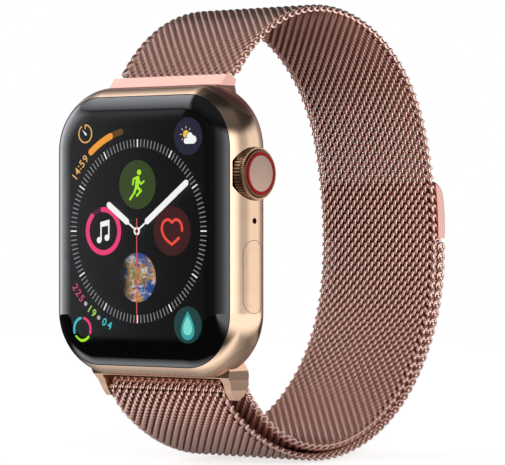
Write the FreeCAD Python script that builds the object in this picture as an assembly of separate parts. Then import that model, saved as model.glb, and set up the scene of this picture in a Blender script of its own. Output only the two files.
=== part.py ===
import FreeCAD
import Part
import os
from math import atan2, cos, degrees, hypot, pi, radians, sin, sqrt

# Smartwatch with a woven magnetic strap. Millimetres.
# X runs across the case towards the crown, Y from the glass back to the wrist, Z up to twelve.
# The origin is the middle of the back crystal's flat face, which rests on the skin.

# ---- driving dimensions ------------------------------------------------------------------
CASE_W = 38.0            # case, across (X)
CASE_H = 44.0            # case, twelve to six (Z)
CORNER_R = 9.8           # corner radius seen from the front
FRONT_Y = -10.7          # outside face of the glass
BACK_Y = -0.7            # flat of the case back
FRONT_EDGE_R = 5.4       # roll of the glass and case edge, front
BACK_EDGE_R = 4.2        # roll of the case edge, back
SEAM_Y = -9.15           # joint between glass and case
CAVITY_W = 32.4
CAVITY_H = 31.8
CAVITY_R = 7.5
CAVITY_FLOOR_Y = -1.6    # inside of the back wall
PANEL_W = 30.4           # display panel
PANEL_H = 36.4
PANEL_R = 7.2
PANEL_Y = -10.0          # lit face of the display panel

BACK_OPENING_R = 14.6
DOME_R = 14.5            # ceramic back
DOME_FLAT_R = 7.0        # flat middle of the back crystal
CRYSTAL_R = 10.4

GROOVE_Y = -4.5          # band grooves, cylinders along X at twelve and six
GROOVE_Z = 20.2
GROOVE_R = 3.1
LUG_R = 3.05

CROWN_Y = -5.3
CROWN_Z = 8.5
CROWN_R = 3.9
CROWN_BACK_X = 18.1      # inner face of the knurled knob
CROWN_FACE_X = 20.1
CROWN_TEETH = 48
CROWN_RIM_TEETH = 72
CROWN_TRAVEL = 0.40

BUTTON_Y = -5.5
BUTTON_Z = -6.8
BUTTON_L = 10.8
BUTTON_W = 3.9
BUTTON_BACK_X = 17.35
BUTTON_TRAVEL = 0.30
BUTTON_GAP = 0.07

MIC_Y = -5.4
MIC_Z = 1.5
MIC_R = 0.45

RELEASE_Z = 18.6         # band release buttons in the case back
RELEASE_L = 5.6
RELEASE_W = 1.6
RELEASE_TRAVEL = 0.90

BAND_W = 23.4            # woven strap
BAND_T = 1.26
SLOT_W = 24.1            # slot of the lower lug
LUG_TOP_W = 22.9
LUG_BASE_W = 28.4

# Strap centre line in the YZ plane, from the upper lug over the back and under the wrist,
# through the lower lug's slot and back along the outside. Each bend is (radius, degrees),
# negative when it turns clockwise seen from the crown side with Y to the right.
STRAP_START = (-1.33, 23.17)
STRAP_HEADING = 56.6
OVER_BENDS = [(25.5, -53.3), (27.1, -76.5)]
BEHIND_BENDS = [(59.0, -21.9), (29.5, -33.0)]
UNDER_BENDS = [(29.5, -38.4), (23.4, -66.0)]
FOLD_BENDS = [(4.5, 59.7), (1.27, 113.4), (12.5, 20.1), (31.2, 14.0)]
TAIL_1_BENDS = [(31.2, 46.6)]
TAIL_2_BENDS = [(30.7, 36.0)]
TAIL_3_BENDS = [(33.0, 36.0)]
JOINT_GAP = 0.04         # space between neighbouring strap lengths that hinge on each other

CLASP_LOW_Z = -1.15
CLASP_TIP_Z = 8.05
CLASP_W = 23.5
PART_GAP = 0.03          # clearance between fitted pieces

os.makedirs("parts", exist_ok=True)


# ---- helpers -----------------------------------------------------------------------------
def vec(x, y, z):
    return FreeCAD.Vector(x, y, z)


def save(name, shape):
    shape.exportStep("parts/" + name + ".step")


def box(x0, x1, y0, y1, z0, z1):
    return Part.makeBox(x1 - x0, y1 - y0, z1 - z0, vec(x0, y0, z0))


def rod(r, x0, x1, y, z):
    """Cylinder along X."""
    return Part.makeCylinder(r, x1 - x0, vec(x0, y, z), vec(1, 0, 0))


def peg(r, y0, y1, x, z):
    """Cylinder along Y."""
    return Part.makeCylinder(r, y1 - y0, vec(x, y0, z), vec(0, 1, 0))


def ring(r_out, r_in, y0, y1, x=0.0, z=0.0):
    return peg(r_out, y0, y1, x, z).cut(peg(r_in, y0 - 1, y1 + 1, x, z))


def tube(r_out, r_in, x0, x1, y, z):
    return rod(r_out, x0, x1, y, z).cut(rod(r_in, x0 - 1, x1 + 1, y, z))


def rounded(w, h, r, y0, y1, x=0.0, z=0.0):
    """Rounded rectangle in the XZ plane, pushed along Y."""
    plate = box(x - w / 2, x + w / 2, y0, y1, z - h / 2, z + h / 2)
    upright = [e for e in plate.Edges if abs(e.tangentAt(e.FirstParameter).y) > 0.9]
    return plate.makeFillet(r, upright)


def pill_x(length, width, x0, x1, y, z):
    """Round-ended slug: outline in the YZ plane, long way along Z, pushed along X."""
    r = width / 2
    half = length / 2 - r
    middle = box(x0, x1, y - r, y + r, z - half, z + half)
    return middle.fuse([rod(r, x0, x1, y, z - half), rod(r, x0, x1, y, z + half)]).removeSplitter()


def pill_y(length, width, y0, y1, x, z):
    """Round-ended slug: outline in the XZ plane, long way along X, pushed along Y."""
    r = width / 2
    half = length / 2 - r
    middle = box(x - half, x + half, y0, y1, z - r, z + r)
    return middle.fuse([peg(r, y0, y1, x - half, z), peg(r, y0, y1, x + half, z)]).removeSplitter()


def prism_x(points, x0, x1):
    """Polygon of (y, z) points pushed along X."""
    loop = [vec(x0, y, z) for y, z in points]
    face = Part.Face(Part.makePolygon(loop + [loop[0]]))
    return face.extrude(vec(x1 - x0, 0, 0))


def prism_y(points, y0, y1):
    """Polygon of (x, z) points pushed along Y."""
    loop = [vec(x, y0, z) for x, z in points]
    face = Part.Face(Part.makePolygon(loop + [loop[0]]))
    return face.extrude(vec(0, y1 - y0, 0))


def toothed(teeth, r_out, r_root, x0, x1):
    """Knurled disc on the crown's axis."""
    points = []
    for k in range(teeth):
        for share, r in ((0.08, r_root), (0.36, r_out), (0.64, r_out), (0.92, r_root)):
            a = 2 * pi * (k + share) / teeth
            points.append((CROWN_Y + r * cos(a), CROWN_Z + r * sin(a)))
    return prism_x(points, x0, x1)


def walk(start, heading, bends):
    """Arcs of a smooth line: (centre, radius, side, first angle, last angle), then the end."""
    p = start
    h = radians(heading)
    arcs = []
    for radius, turn in bends:
        side = 1 if turn > 0 else -1
        centre = (p[0] - side * radius * sin(h), p[1] + side * radius * cos(h))
        a0 = h - side * pi / 2
        a1 = a0 + radians(turn)
        arcs.append((centre, radius, side, a0, a1))
        h += radians(turn)
        p = (centre[0] + radius * cos(a1), centre[1] + radius * sin(a1))
    return arcs, p, degrees(h)


def offset_arc(arc, out, x):
    """Arc edge moved out to the left of travel (positive) or to the right (negative)."""
    centre, radius, side, a0, a1 = arc
    r = radius - side * out
    points = []
    for a in (a0, (a0 + a1) / 2, a1):
        points.append(vec(x, centre[0] + r * cos(a), centre[1] + r * sin(a)))
    return Part.Arc(points[0], points[1], points[2]).toShape()


def strip(arcs, width, thick, trim_start=0.0, trim_end=0.0):
    """Strap length of even thickness that follows the arcs."""
    arcs = list(arcs)
    if trim_start:
        c, r, s, a0, a1 = arcs[0]
        arcs[0] = (c, r, s, a0 + s * trim_start / r, a1)
    if trim_end:
        c, r, s, a0, a1 = arcs[-1]
        arcs[-1] = (c, r, s, a0, a1 - s * trim_end / r)
    left = [offset_arc(a, thick / 2, -width / 2) for a in arcs]
    right = [offset_arc(a, -thick / 2, -width / 2) for a in arcs]
    first = Part.LineSegment(left[0].Vertexes[0].Point, right[0].Vertexes[0].Point).toShape()
    last = Part.LineSegment(left[-1].Vertexes[-1].Point, right[-1].Vertexes[-1].Point).toShape()
    wire = Part.Wire(Part.__sortEdges__(left + right + [first, last]))
    return Part.Face(wire).extrude(vec(width, 0, 0))


# ---- outer form of the watch ----------------------------------------------------------------
def pebble():
    """Glass and case together: a rounded slab with rolled edges front and back."""
    slab = rounded(CASE_W, CASE_H, CORNER_R, FRONT_Y, BACK_Y)
    front = [e for e in slab.Edges if abs(e.BoundBox.YMin - FRONT_Y) < 1e-6 and e.BoundBox.YLength < 1e-6]
    slab = slab.makeFillet(FRONT_EDGE_R, front)
    back = [e for e in slab.Edges if abs(e.BoundBox.YMax - BACK_Y) < 1e-6 and e.BoundBox.YLength < 1e-6]
    return slab.makeFillet(BACK_EDGE_R, back)


PEBBLE = pebble()


# ---- glass, display and its gasket -------------------------------------------------------------
def build_front():
    glass = PEBBLE.common(box(-30, 30, FRONT_Y - 1, SEAM_Y, -30, 30))
    pocket = rounded(PANEL_W + 0.1, PANEL_H + 0.1, PANEL_R, PANEL_Y, SEAM_Y + 1)
    save("front_glass", glass.cut(pocket))

    panel = rounded(PANEL_W, PANEL_H, PANEL_R, PANEL_Y, SEAM_Y - 0.05)
    save("display_panel", panel)

    gasket = rounded(33.6, 39.6, 7.6, SEAM_Y, SEAM_Y + 0.2)
    gasket = gasket.cut(rounded(32.6, 38.6, 7.1, SEAM_Y - 1, SEAM_Y + 1))
    save("display_gasket", gasket)

    flex = box(-6.0, 6.0, SEAM_Y + 0.0, SEAM_Y + 0.12, 6.0, 14.9)
    tail = box(-6.0, 6.0, SEAM_Y + 0.12, -5.05, 14.7, 14.9)
    save("display_flex", flex.fuse(tail).removeSplitter())


# ---- case ------------------------------------------------------------------------------------
def build_case():
    case = PEBBLE.common(box(-30, 30, SEAM_Y, 1, -30, 30))
    case = case.cut(rounded(CAVITY_W, CAVITY_H, CAVITY_R, SEAM_Y - 1, CAVITY_FLOOR_Y))
    channel = rounded(33.7, 39.7, 7.65, SEAM_Y - 1, SEAM_Y + 0.22)
    channel = channel.cut(rounded(CAVITY_W, 38.4, 7.0, SEAM_Y - 2, SEAM_Y + 1))
    case = case.cut(channel)
    case = case.cut(peg(BACK_OPENING_R, -3, 1, 0, 0))
    case = case.cut(ring(15.25, 14.7, CAVITY_FLOOR_Y - 0.2, CAVITY_FLOOR_Y + 0.25))

    for end in (1, -1):
        z = end * GROOVE_Z
        case = case.cut(rod(GROOVE_R, -25, 25, GROOVE_Y, z))
        well = pill_y(RELEASE_L + 0.1, RELEASE_W + 0.1, -3.0, 1.0, 0, end * RELEASE_Z)
        run = box(0, 25, -3.0, -1.2, end * RELEASE_Z - 0.7, end * RELEASE_Z + 0.7)
        case = case.cut(well.fuse(run))

    # crown well, the bush's hole and the side button's well with its two stem holes
    case = case.cut(rod(CROWN_R + 0.12, CROWN_BACK_X - CROWN_TRAVEL - 0.05, 25, CROWN_Y, CROWN_Z))
    case = case.cut(rod(2.2, 15, 25, CROWN_Y, CROWN_Z))
    gap = 2 * BUTTON_GAP
    well_floor = BUTTON_BACK_X - BUTTON_TRAVEL - BUTTON_GAP
    case = case.cut(pill_x(BUTTON_L + gap, BUTTON_W + gap, well_floor, 25, BUTTON_Y, BUTTON_Z))
    for side in (1, -1):
        case = case.cut(rod(0.65, 15, 25, BUTTON_Y, BUTTON_Z + side * 3.4))
    # room inside the rounded cavity corners for the bush's flange and the button's plate
    case = case.cut(rod(2.8, 13, CAVITY_W / 2, CROWN_Y, CROWN_Z))
    case = case.cut(pill_x(9.7, 2.7, 13, CAVITY_W / 2, BUTTON_Y, BUTTON_Z))

    # microphone hole and the two speaker slots in the far side
    case = case.cut(rod(MIC_R, 15, 25, MIC_Y, MIC_Z))
    for z in (4.4, -4.4):
        case = case.cut(pill_x(6.4, 1.1, -25, -15, -5.3, z))
    save("case_shell", case)


def build_back():
    drop = (DOME_R - DOME_FLAT_R)
    sag = 0.62
    dome_r = (drop * drop + sag * sag) / (2 * sag)
    middle = (DOME_FLAT_R + DOME_R) / 2
    rise = sqrt(dome_r ** 2 - (middle - DOME_FLAT_R) ** 2) - dome_r
    flat = Part.LineSegment(vec(0, 0, 0), vec(DOME_FLAT_R, 0, 0)).toShape()
    arc = Part.Arc(vec(DOME_FLAT_R, 0, 0), vec(middle, rise, 0), vec(DOME_R, -sag, 0)).toShape()
    rest = Part.makePolygon([vec(DOME_R, -sag, 0), vec(DOME_R, -1.65, 0), vec(15.3, -1.65, 0),
                             vec(15.3, -2.1, 0), vec(12.6, -2.1, 0), vec(12.6, -2.5, 0),
                             vec(0, -2.5, 0), vec(0, 0, 0)])
    wire = Part.Wire([flat, arc] + rest.Edges)
    dome = Part.Face(wire).revolve(vec(0, 0, 0), vec(0, 1, 0), 360)

    cover = dome.cut(peg(CRYSTAL_R + 0.06, -1.9, 1, 0, 0))
    cover = cover.cut(peg(9.6, -4, 1, 0, 0))
    cover = cover.cut(ring(12.5, 11.2, -0.75, 1))
    save("back_cover", cover)
    electrode = dome.common(ring(12.44, 11.26, -0.75, 1))
    save("electrode_ring", electrode)
    crystal = dome.common(peg(CRYSTAL_R, -1.88, 1, 0, 0))
    save("back_crystal", crystal)
    gasket = ring(15.2, 14.75, -1.64, -1.38)
    save("back_gasket", gasket)

    board = peg(9.0, -3.3, -2.95, 0, 0)
    save("sensor_board", board)
    shroud = ring(9.3, 8.6, -2.93, -1.9).fuse(ring(4.4, 3.9, -2.93, -1.9))
    for k in range(4):
        wall = box(4.2, 8.8, -2.93, -1.9, -0.2, 0.2)
        wall.rotate(vec(0, 0, 0), vec(0, 1, 0), 90 * k + 45)
        shroud = shroud.fuse(wall)
    save("sensor_shroud", shroud.removeSplitter())
    leds = []
    for k in range(3):
        a = radians(120 * k + 90)
        leds.append(box(-0.7, 0.7, -2.93, -2.3, -0.7, 0.7).translated(vec(2.0 * cos(a), 0, 2.0 * sin(a))))
    save("sensor_leds", Part.makeCompound(leds))
    diodes = []
    for k in range(4):
        diode = box(5.2, 7.6, -2.93, -2.35, -1.4, 1.4)
        diode.rotate(vec(0, 0, 0), vec(0, 1, 0), 90 * k)
        diodes.append(diode)
    save("sensor_diodes", Part.makeCompound(diodes))


# ---- inside the case -------------------------------------------------------------------------
def build_inside():
    pack = rounded(20.0, 20.6, 1.6, -8.85, -5.15, -0.6, 3.2)
    save("battery", pack)

    # tapping motor: a tray with a lid, and a weight that slides along X inside
    outer = rounded(20.0, 7.4, 1.2, -8.85, -5.15, -0.6, -11.3)
    inner = rounded(18.8, 6.2, 0.8, -8.45, -5.55, -0.6, -11.3)
    save("haptic_housing", outer.cut(inner))
    weight = rounded(16.8, 5.6, 0.6, -8.25, -5.75, -0.6, -11.3)
    save("haptic_mass", weight)

    board = rounded(19.6, 27.4, 1.0, -4.95, -4.4, -0.6, 0.6)
    save("logic_board", board)
    chips = rounded(14.4, 14.4, 0.5, -4.38, -3.5, -0.6, 3.4)
    save("logic_package", chips)
    screws = []
    for x, z in ((-9.4, 13.3), (8.2, 13.3), (-9.4, -12.1), (8.2, -12.1)):
        head = peg(0.75, -4.38, -3.95, x, z)
        screws.append(head.cut(box(x - 0.6, x + 0.6, -4.12, -3.9, z - 0.12, z + 0.12)))
    save("board_screws", Part.makeCompound(screws))

    speaker = rounded(4.6, 16.2, 1.0, -8.4, -4.2, -13.75, 0)
    save("speaker_module", speaker)
    meshes = [pill_x(6.3, 1.0, -17.3, -17.1, -5.3, z) for z in (4.4, -4.4)]
    save("speaker_mesh", Part.makeCompound(meshes))

    mic = box(13.9, 16.15, -6.6, -4.2, 0.3, 2.7)
    save("microphone", mic)
    save("mic_mesh", rod(MIC_R - 0.01, 17.7, 17.85, MIC_Y, MIC_Z))

    # bracket that carries the two switches behind the crown and the side button
    base = prism_y([(9.9, -11.0), (14.9, -11.0), (15.4, -9.5), (15.4, 10.2), (14.6, 11.2),
                    (9.9, 11.2)], -3.15, -2.75)
    crown_wall = box(9.9, 10.4, -7.0, -3.15, 6.9, 10.1)
    button_wall = box(13.2, 13.7, -7.0, -3.15, -8.6, -5.0)
    save("switch_bracket", base.fuse([crown_wall, button_wall]).removeSplitter())
    crown_switch = box(10.4, 11.1, -6.5, -4.1, 7.3, 9.7).fuse(rod(0.7, 11.1, 11.4, CROWN_Y, CROWN_Z))
    save("crown_switch", crown_switch)
    button_switch = box(13.7, 14.9, -6.7, -4.3, -8.2, -5.4)
    button_switch = button_switch.fuse(rod(0.7, 14.9, 15.3, BUTTON_Y, BUTTON_Z))
    save("button_switch", button_switch)


# ---- crown -----------------------------------------------------------------------------------
def build_crown():
    grip = toothed(CROWN_TEETH, CROWN_R, CROWN_R - 0.26, CROWN_BACK_X, CROWN_BACK_X + 1.15)
    neck = rod(CROWN_R - 0.42, CROWN_BACK_X, CROWN_FACE_X, CROWN_Y, CROWN_Z)
    rim = toothed(CROWN_RIM_TEETH, CROWN_R - 0.03, CROWN_R - 0.21, CROWN_BACK_X + 1.3,
                  CROWN_FACE_X - 0.3)
    lip = Part.makeCone(CROWN_R - 0.3, 3.3, 0.3, vec(CROWN_FACE_X - 0.3, CROWN_Y, CROWN_Z), vec(1, 0, 0))
    knob = grip.fuse([neck, rim, lip])
    knob = knob.cut(rod(3.16, CROWN_FACE_X - 0.5, 22, CROWN_Y, CROWN_Z))
    knob = knob.cut(rod(0.85 + PART_GAP, CROWN_BACK_X - 1, CROWN_BACK_X + 1.2, CROWN_Y, CROWN_Z))
    save("crown_knob", knob)
    band = tube(3.13, 2.7, CROWN_FACE_X - 0.49, CROWN_FACE_X + 0.12, CROWN_Y, CROWN_Z)
    save("crown_ring", band)
    cap = rod(2.67, CROWN_FACE_X - 0.49, CROWN_FACE_X + 0.1, CROWN_Y, CROWN_Z)
    dome = Part.makeSphere(18.0, vec(CROWN_FACE_X + 0.3 - 18.0, CROWN_Y, CROWN_Z))
    skin = rod(2.67, CROWN_FACE_X, CROWN_FACE_X + 1, CROWN_Y, CROWN_Z).common(dome)
    save("crown_cap", cap.fuse(skin).removeSplitter())
    shaft = rod(0.85, 11.85, CROWN_BACK_X + 1.1, CROWN_Y, CROWN_Z)
    shaft = shaft.fuse(rod(1.3, 14.32, CROWN_BACK_X - 0.03, CROWN_Y, CROWN_Z)).removeSplitter()
    save("crown_shaft", shaft)
    drum = tube(1.6, 0.85 + 0.01, 12.3, 13.25, CROWN_Y, CROWN_Z)
    for k in range(20):
        a = 2 * pi * k / 20
        drum = drum.cut(rod(0.1, 12, 14, CROWN_Y + 1.6 * cos(a), CROWN_Z + 1.6 * sin(a)))
    save("crown_encoder", drum)
    bush = tube(2.18, 1.34, 15.5, CROWN_BACK_X - 0.5, CROWN_Y, CROWN_Z)
    bush = bush.fuse(tube(2.7, 1.34, 15.5, 16.18, CROWN_Y, CROWN_Z)).removeSplitter()
    groove = tube(1.75, 1.2, 16.2, 16.6, CROWN_Y, CROWN_Z)
    save("crown_bush", bush.cut(groove))
    save("crown_seal", tube(1.73, 1.33, 16.22, 16.58, CROWN_Y, CROWN_Z))
    yoke = box(13.3, 14.28, CROWN_Y - 1.9, CROWN_Y + 1.9, CROWN_Z - 2.4, CROWN_Z + 2.4)
    save("crown_yoke", yoke.cut(rod(0.9, 12, 16, CROWN_Y, CROWN_Z)))


# ---- side button -----------------------------------------------------------------------------
def build_side_button():
    slug = pill_x(BUTTON_L, BUTTON_W, BUTTON_BACK_X, 25, BUTTON_Y, BUTTON_Z)
    save("side_button", slug.common(PEBBLE))
    stems = [rod(0.6, 16.16, BUTTON_BACK_X - 0.01, BUTTON_Y, BUTTON_Z + s * 3.4) for s in (1, -1)]
    plate = pill_x(9.4, 2.4, 15.66, 16.16, BUTTON_Y, BUTTON_Z)
    save("button_plate", plate.fuse(stems).removeSplitter())


# ---- band release buttons and the latches in the lugs ----------------------------------------
def build_release(end, name):
    z = end * RELEASE_Z
    cap = pill_y(RELEASE_L, RELEASE_W, -1.28, 1, 0, z).common(PEBBLE)
    save(name + "_release", cap)
    save(name + "_latch", pill_y(4.4, 1.1, -3.2, -1.3, 0, z))
    springs = [ring(0.5, 0.28, -5.0, -3.21, x, z) for x in (-1.2, 1.2)]
    save(name + "_latch_spring", Part.makeCompound(springs))


def lug_core(end):
    core = rod(LUG_R, -25, 25, GROOVE_Y, end * GROOVE_Z).common(PEBBLE)
    pocket = pill_y(4.5, 1.2, -5.02, 2, 0, end * RELEASE_Z)
    relief = pill_y(RELEASE_L + 0.2, RELEASE_W + 0.2, -1.28 - RELEASE_TRAVEL - 0.05, 2, 0, end * RELEASE_Z)
    return core, pocket.fuse(relief)


def build_upper_lug():
    core, pocket = lug_core(1)
    h = radians(STRAP_HEADING)
    front = (STRAP_START[0] - 0.75 * sin(h), STRAP_START[1] + 0.75 * cos(h))
    back = (STRAP_START[0] + 0.65 * sin(h), STRAP_START[1] - 0.65 * cos(h))
    side = prism_x([(-5.6, 20.5), (-5.2, 21.9), (-4.25, 22.05), (-3.05, 23.55), front, back,
                    (-1.45, 20.75), (-2.3, 19.4)], -LUG_BASE_W / 2, LUG_BASE_W / 2)
    b = 12.1
    w = LUG_TOP_W / 2
    outline = prism_y([(-b, 19.0), (b, 19.0), (b, 20.6), (w, 21.9), (w, 24.5), (-w, 24.5),
                       (-w, 21.9), (-b, 20.6)], -10, 3)
    lug = core.fuse(side.common(outline)).cut(pocket)
    save("upper_lug", lug.removeSplitter())


def build_lower_lug(bar):
    core, pocket = lug_core(-1)
    side = prism_x([(-5.6, -20.5), (-5.3, -21.95), (-4.5, -22.9), (-3.9, -24.3), (-3.1, -25.35),
                    (-2.0, -25.45), (-0.9, -24.7), (-0.25, -23.2), (-0.75, -21.6), (-1.3, -20.75),
                    (-2.3, -19.4)], -LUG_BASE_W / 2, LUG_BASE_W / 2)
    outline = prism_y([(-14.2, -19.0), (14.2, -19.0), (14.2, -20.9), (13.7, -22.3), (13.3, -23.9),
                       (13.0, -26.0), (-13.0, -26.0), (-13.3, -23.9), (-13.7, -22.3),
                       (-14.2, -20.9)], -10, 3)
    frame = side.common(outline)
    slot = rounded(SLOT_W, 6.0, (SLOT_W - BAND_W) / 2, -7, 3, 0, -22.08 - 3.0)
    frame = frame.cut(slot)
    rail = rod(0.55, -SLOT_W / 2 - 0.4, SLOT_W / 2 + 0.4, bar[0], bar[1])
    lug = core.fuse([frame, rail]).cut(pocket)
    save("lower_lug", lug.removeSplitter())


# ---- strap -----------------------------------------------------------------------------------
def build_strap():
    arcs = {}
    p = STRAP_START
    h = STRAP_HEADING
    for name, bends in (("over", OVER_BENDS), ("behind", BEHIND_BENDS), ("under", UNDER_BENDS),
                        ("fold", FOLD_BENDS), ("tail_1", TAIL_1_BENDS), ("tail_2", TAIL_2_BENDS),
                        ("tail_3", TAIL_3_BENDS)):
        arcs[name], p, h = walk(p, h, bends)
    save("mesh_over", strip(arcs["over"], BAND_W, BAND_T))
    save("mesh_behind", strip(arcs["behind"], BAND_W, BAND_T))
    save("mesh_under", strip(arcs["under"], BAND_W, BAND_T))
    save("mesh_fold", strip(arcs["fold"], BAND_W, BAND_T, 0, JOINT_GAP))
    save("tail_mesh_1", strip(arcs["tail_1"], BAND_W, BAND_T, 0, JOINT_GAP))
    save("tail_mesh_2", strip(arcs["tail_2"], BAND_W, BAND_T, 0, JOINT_GAP))
    save("tail_mesh_3", strip(arcs["tail_3"], BAND_W, BAND_T))
    bar = arcs["fold"][1][0]
    return arcs, bar


def build_clasp(arcs):
    # inner face follows the strap it grips, at a small distance
    centre, radius = arcs["behind"][0][0], arcs["behind"][0][1]
    face_r = radius + BAND_T / 2 + 0.12

    def on_face(z, extra=0.0):
        r = face_r + extra
        return (centre[0] + sqrt(r * r - (z - centre[1]) ** 2), z)

    low = on_face(CLASP_LOW_Z)
    mid = on_face(3.2)
    tip = on_face(CLASP_TIP_Z)
    x = -CLASP_W / 2
    inner = Part.Arc(vec(x, low[0], low[1]), vec(x, mid[0], mid[1]), vec(x, tip[0], tip[1])).toShape()
    knee = vec(x, 50.78, 5.8)
    heel = vec(x, 51.22, CLASP_LOW_Z)
    outer = Part.Arc(knee, vec(x, 51.25, 2.2), heel).toShape()
    nose = Part.Arc(vec(x, tip[0], tip[1]), vec(x, 49.85, 7.3), knee).toShape()
    foot = Part.LineSegment(heel, vec(x, low[0], low[1])).toShape()
    shell = Part.Face(Part.Wire([inner, nose, outer, foot])).extrude(vec(CLASP_W, 0, 0))
    uprights = [e for e in shell.Edges if e.BoundBox.XLength < 1e-6 and e.BoundBox.YMax > 51
                and e.BoundBox.ZLength > 3]
    shell = shell.makeFillet(0.45, uprights)
    socket = strip(arcs["tail_3"], BAND_W + 0.06, BAND_T + 0.06, 0, -0.05)
    shell = shell.cut(socket)

    slot = box(-9.6, 9.6, 40, 50.25, 0.9, 5.6)
    shell = shell.cut(slot)
    save("clasp_shell", shell)
    face = Part.makeCylinder(face_r, 19.2, vec(-9.6, centre[0], centre[1]), vec(1, 0, 0))
    deep = Part.makeCylinder(face_r + 0.3, 19.2, vec(-9.6, centre[0], centre[1]), vec(1, 0, 0))
    liner = deep.cut(face).common(box(-9.57, 9.57, 40, 60, 0.93, 5.57))
    save("clasp_liner", liner)
    magnet = box(-9.4, 9.4, 40, 50.2, 1.1, 5.4).cut(
        Part.makeCylinder(face_r + 0.33, 30, vec(-15, centre[0], centre[1]), vec(1, 0, 0)))
    save("clasp_magnet", magnet)


build_front()
build_case()
build_back()
build_inside()
build_crown()
build_side_button()
for which, end_name in ((1, "upper"), (-1, "lower")):
    build_release(which, end_name)
STRAP_ARCS, FOLD_BAR = build_strap()
build_upper_lug()
build_lower_lug(FOLD_BAR)
build_clasp(STRAP_ARCS)
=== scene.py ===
from math import atan2, cos, pi, radians, sin, sqrt

import bmesh
import bpy
import numpy as np
from mathutils import Matrix, Vector


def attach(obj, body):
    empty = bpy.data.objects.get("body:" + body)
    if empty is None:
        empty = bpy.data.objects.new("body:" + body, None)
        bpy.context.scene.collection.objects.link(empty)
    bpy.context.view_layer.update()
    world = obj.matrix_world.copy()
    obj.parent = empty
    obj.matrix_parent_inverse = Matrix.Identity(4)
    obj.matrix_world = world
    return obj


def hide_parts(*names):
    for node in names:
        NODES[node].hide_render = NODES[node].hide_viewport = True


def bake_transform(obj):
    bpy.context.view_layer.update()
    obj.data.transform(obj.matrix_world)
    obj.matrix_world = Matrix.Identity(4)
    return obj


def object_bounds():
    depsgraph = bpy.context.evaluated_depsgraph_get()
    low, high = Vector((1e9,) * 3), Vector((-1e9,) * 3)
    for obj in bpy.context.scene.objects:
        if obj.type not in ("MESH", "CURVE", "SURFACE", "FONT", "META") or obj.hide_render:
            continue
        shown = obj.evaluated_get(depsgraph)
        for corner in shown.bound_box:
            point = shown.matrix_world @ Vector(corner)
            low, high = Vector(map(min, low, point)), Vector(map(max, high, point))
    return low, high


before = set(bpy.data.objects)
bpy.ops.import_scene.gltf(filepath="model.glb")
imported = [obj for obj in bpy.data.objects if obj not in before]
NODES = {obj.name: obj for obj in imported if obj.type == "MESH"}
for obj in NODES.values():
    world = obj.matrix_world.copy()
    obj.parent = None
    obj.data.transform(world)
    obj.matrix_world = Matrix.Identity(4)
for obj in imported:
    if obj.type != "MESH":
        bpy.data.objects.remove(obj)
cad_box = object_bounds()
MM = 0.001
scene = bpy.context.scene


# ---- colours and shader helpers -----------------------------------------------------------
def srgb(text, alpha=1.0):
    """Linear colour from a six-digit hex string."""
    out = []
    for k in (0, 2, 4):
        c = int(text[k:k + 2], 16) / 255
        out.append(c / 12.92 if c <= 0.04045 else ((c + 0.055) / 1.055) ** 2.4)
    return (*out, alpha)


def new_material(name):
    mat = bpy.data.materials.new(name)
    mat.use_nodes = True
    tree = mat.node_tree
    tree.nodes.clear()
    return mat, tree


def add(tree, kind, **values):
    """A node with some of its inputs or properties set."""
    node = tree.nodes.new("ShaderNode" + kind)
    for key, value in values.items():
        if key.startswith("p_"):
            setattr(node, key[2:], value)
        else:
            node.inputs[key.replace("_", " ")].default_value = value
    return node


def link(tree, a, out, b, socket):
    tree.links.new(a.outputs[out], b.inputs[socket])


def place(tree, scale):
    """Object coordinates stretched by (x, y, z)."""
    where = add(tree, "TexCoord")
    stretch = add(tree, "Mapping", Scale=scale)
    link(tree, where, "Object", stretch, "Vector")
    return stretch


def finish_surface(tree, shader):
    out = add(tree, "OutputMaterial")
    link(tree, shader, 0, out, "Surface")


def tint(tree, vector, dark, light, scale, detail=3.0):
    """Noise that runs between two colours."""
    noise = add(tree, "TexNoise", Scale=scale, Detail=detail)
    link(tree, vector, "Vector", noise, "Vector")
    mix = add(tree, "Mix", p_data_type="RGBA")
    mix.inputs[6].default_value = dark
    mix.inputs[7].default_value = light
    tree.links.new(noise.outputs[0], mix.inputs[0])
    return mix


def metal(name, dark, light, rough, stretch=(1, 1, 1), grain=900.0, bump=0.02, spread=0.06):
    """Metal with fine grain along one way, slight colour drift and uneven polish."""
    mat, tree = new_material(name)
    where = place(tree, stretch)
    colour = tint(tree, where, dark, light, 60.0)
    fine = add(tree, "TexNoise", Scale=grain, Detail=4.0)
    link(tree, where, "Vector", fine, "Vector")
    ridge = add(tree, "Bump", Strength=bump, Distance=0.0002)
    link(tree, fine, 0, ridge, "Height")
    polish = add(tree, "MapRange")
    polish.inputs["To Min"].default_value = max(0.02, rough - spread / 2)
    polish.inputs["To Max"].default_value = rough + spread / 2
    link(tree, fine, 0, polish, "Value")
    shader = add(tree, "BsdfPrincipled", Metallic=1.0)
    tree.links.new(colour.outputs[2], shader.inputs["Base Color"])
    link(tree, polish, 0, shader, "Roughness")
    link(tree, ridge, 0, shader, "Normal")
    finish_surface(tree, shader)
    return mat


def moulded(name, dark, light, rough, grain=1500.0, bump=0.05, coat=0.0, specular=0.5):
    """Plastic, rubber or ceramic with a fine surface grain."""
    mat, tree = new_material(name)
    where = place(tree, (1, 1, 1))
    colour = tint(tree, where, dark, light, 120.0)
    fine = add(tree, "TexNoise", Scale=grain, Detail=3.0)
    link(tree, where, "Vector", fine, "Vector")
    ridge = add(tree, "Bump", Strength=bump, Distance=0.0001)
    link(tree, fine, 0, ridge, "Height")
    shader = add(tree, "BsdfPrincipled", Roughness=rough)
    shader.inputs["Coat Weight"].default_value = coat
    shader.inputs["Specular IOR Level"].default_value = specular
    tree.links.new(colour.outputs[2], shader.inputs["Base Color"])
    link(tree, ridge, 0, shader, "Normal")
    finish_surface(tree, shader)
    return mat


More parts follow.
